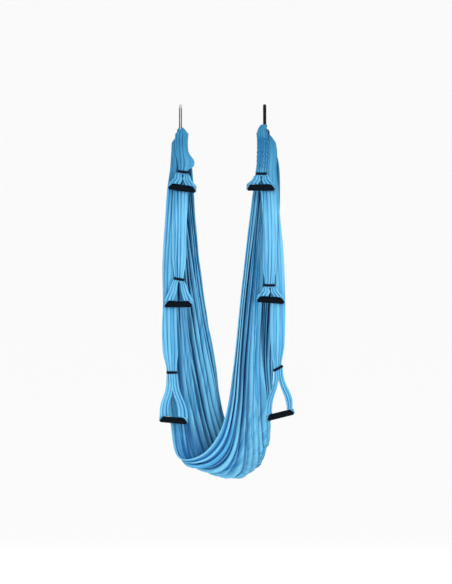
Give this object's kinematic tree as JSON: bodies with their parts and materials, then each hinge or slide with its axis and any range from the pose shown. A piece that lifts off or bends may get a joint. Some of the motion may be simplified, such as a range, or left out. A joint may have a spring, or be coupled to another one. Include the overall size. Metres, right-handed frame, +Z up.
{
  "type": "aerial hammock",
  "caption": "Hanging fabric hammock for aerial exercise: a gathered cloth slung between spring-gate carabiners, with fabric hand loops and foam grips at several heights on each side.",
  "frame": {"origin": "midway between the inner tops of the two carabiners, on the hang line from which the hammock hangs", "axes": "+Z up, X along the hang line with +X towards the right carabiner as the picture shows it, -Y towards the side where the hand loops hang"},
  "size_m": [0.5435, 0.283, 1.5007],
  "materials": {
    "blue_fabric": "matte",
    "black_rope": "matte",
    "black_band": "matte",
    "black_foam": "matte",
    "core_plastic": "satin",
    "bright_steel": "polished",
    "black_steel": "satin",
    "spring_steel": "satin"
  },
  "bodies": {
    "hammock": {"hammock_cloth": "blue_fabric", "left_carabiner_body": "bright_steel", "left_gate_pin": "bright_steel", "left_end_loop": "black_rope", "left_end_binding": "black_rope", "right_carabiner_body": "black_steel", "right_gate_pin": "black_steel", "right_end_loop": "black_rope", "right_end_binding": "black_rope"},
    "left_gate": {"left_carabiner_gate": "bright_steel", "left_gate_spring": "spring_steel"},
    "right_gate": {"right_carabiner_gate": "black_steel", "right_gate_spring": "spring_steel"},
    "left_short_sling": {"left_short_sling": "blue_fabric", "left_short_band": "black_band"},
    "left_short_stirrup": {"left_short_stirrup": "blue_fabric"},
    "left_short_grip": {"left_short_grip": "black_foam", "left_short_grip_core": "core_plastic"},
    "left_middle_sling": {"left_middle_sling": "blue_fabric", "left_middle_band": "black_band"},
    "left_middle_stirrup": {"left_middle_stirrup": "blue_fabric"},
    "left_middle_grip": {"left_middle_grip": "black_foam", "left_middle_grip_core": "core_plastic"},
    "left_long_sling": {"left_long_sling": "blue_fabric", "left_long_band": "black_band"},
    "left_long_stirrup": {"left_long_stirrup": "blue_fabric"},
    "left_long_grip": {"left_long_grip": "black_foam", "left_long_grip_core": "core_plastic"},
    "right_short_sling": {"right_short_sling": "blue_fabric", "right_short_band": "black_band"},
    "right_short_stirrup": {"right_short_stirrup": "blue_fabric"},
    "right_short_grip": {"right_short_grip": "black_foam", "right_short_grip_core": "core_plastic"},
    "right_middle_sling": {"right_middle_sling": "blue_fabric", "right_middle_band": "black_band"},
    "right_middle_stirrup": {"right_middle_stirrup": "blue_fabric"},
    "right_middle_grip": {"right_middle_grip": "black_foam", "right_middle_grip_core": "core_plastic"},
    "right_long_sling": {"right_long_sling": "blue_fabric", "right_long_band": "black_band"},
    "right_long_stirrup": {"right_long_stirrup": "blue_fabric"},
    "right_long_grip": {"right_long_grip": "black_foam", "right_long_grip_core": "core_plastic"}
  },
  "joints": [
    {"name": "left_gate_hinge", "type": "hinge", "parent": "hammock", "child": "left_gate", "pos_m": [-0.168, 0.01976, -0.01873], "axis": [-1, 0, 0], "range_deg": [0, 25], "stiffness_Nm_per_rad": 0.3, "springref_deg": -28.65},
    {"name": "right_gate_hinge", "type": "hinge", "parent": "hammock", "child": "right_gate", "pos_m": [0.168, 0.01976, -0.01873], "axis": [-1, 0, 0], "range_deg": [0, 25], "stiffness_Nm_per_rad": 0.3, "springref_deg": -28.65},
    {"name": "left_short_swing", "type": "hinge", "parent": "hammock", "child": "left_short_sling", "pos_m": [-0.168, 0, -0.0955], "axis": [0, 1, 0], "range_deg": [0, 75]},
    {"name": "left_short_tip", "type": "hinge", "parent": "left_short_sling", "child": "left_short_stirrup", "pos_m": [-0.16093, -0.09624, -0.26978], "axis": [-0.9903, 0, 0.1392], "range_deg": [0, 90]},
    {"name": "left_short_spin", "type": "hinge", "parent": "left_short_stirrup", "child": "left_short_grip", "pos_m": [-0.16094, -0.09624, -0.32347], "axis": [0.9903, 0, -0.1392], "continuous": true},
    {"name": "left_middle_swing", "type": "hinge", "parent": "hammock", "child": "left_middle_sling", "pos_m": [-0.168, 0, -0.0955], "axis": [0, 1, 0], "range_deg": [0, 75]},
    {"name": "left_middle_tip", "type": "hinge", "parent": "left_middle_sling", "child": "left_middle_stirrup", "pos_m": [-0.17508, -0.10581, -0.69577], "axis": [-0.9848, 0, 0.1736], "range_deg": [0, 90]},
    {"name": "left_middle_spin", "type": "hinge", "parent": "left_middle_stirrup", "child": "left_middle_grip", "pos_m": [-0.17539, -0.10581, -0.78474], "axis": [1, 0, 0], "continuous": true},
    {"name": "left_long_swing", "type": "hinge", "parent": "hammock", "child": "left_long_sling", "pos_m": [-0.168, 0, -0.0955], "axis": [0, 1, 0], "range_deg": [0, 75]},
    {"name": "left_long_tip", "type": "hinge", "parent": "left_long_sling", "child": "left_long_stirrup", "pos_m": [-0.20126, -0.12242, -1.06626], "axis": [-1, 0, 0], "range_deg": [0, 90]},
    {"name": "left_long_spin", "type": "hinge", "parent": "left_long_stirrup", "child": "left_long_grip", "pos_m": [-0.19488, -0.12242, -1.24508], "axis": [0.9962, 0, -0.0872], "continuous": true},
    {"name": "right_short_swing", "type": "hinge", "parent": "hammock", "child": "right_short_sling", "pos_m": [0.168, 0, -0.0955], "axis": [0, -1, 0], "range_deg": [0, 75]},
    {"name": "right_short_tip", "type": "hinge", "parent": "right_short_sling", "child": "right_short_stirrup", "pos_m": [0.15406, -0.0961, -0.27695], "axis": [-1, 0, 0], "range_deg": [0, 90]},
    {"name": "right_short_spin", "type": "hinge", "parent": "right_short_stirrup", "child": "right_short_grip", "pos_m": [0.15204, -0.0961, -0.32153], "axis": [1, 0, 0], "continuous": true},
    {"name": "right_middle_swing", "type": "hinge", "parent": "hammock", "child": "right_middle_sling", "pos_m": [0.168, 0, -0.0955], "axis": [0, -1, 0], "range_deg": [0, 75]},
    {"name": "right_middle_tip", "type": "hinge", "parent": "right_middle_sling", "child": "right_middle_stirrup", "pos_m": [0.18682, -0.10524, -0.72059], "axis": [-1, 0, 0], "range_deg": [0, 90]},
    {"name": "right_middle_spin", "type": "hinge", "parent": "right_middle_stirrup", "child": "right_middle_grip", "pos_m": [0.19102, -0.10524, -0.76766], "axis": [0.9976, 0, -0.0698], "continuous": true},
    {"name": "right_long_swing", "type": "hinge", "parent": "hammock", "child": "right_long_sling", "pos_m": [0.168, 0, -0.0955], "axis": [0, -1, 0], "range_deg": [0, 75]},
    {"name": "right_long_tip", "type": "hinge", "parent": "right_long_sling", "child": "right_long_stirrup", "pos_m": [0.22549, -0.11936, -1.04886], "axis": [-0.8829, 0, -0.4695], "range_deg": [0, 90]},
    {"name": "right_long_spin", "type": "hinge", "parent": "right_long_stirrup", "child": "right_long_grip", "pos_m": [0.22966, -0.11936, -1.22408], "axis": [0.9703, 0, 0.2419], "continuous": true}
  ]
}
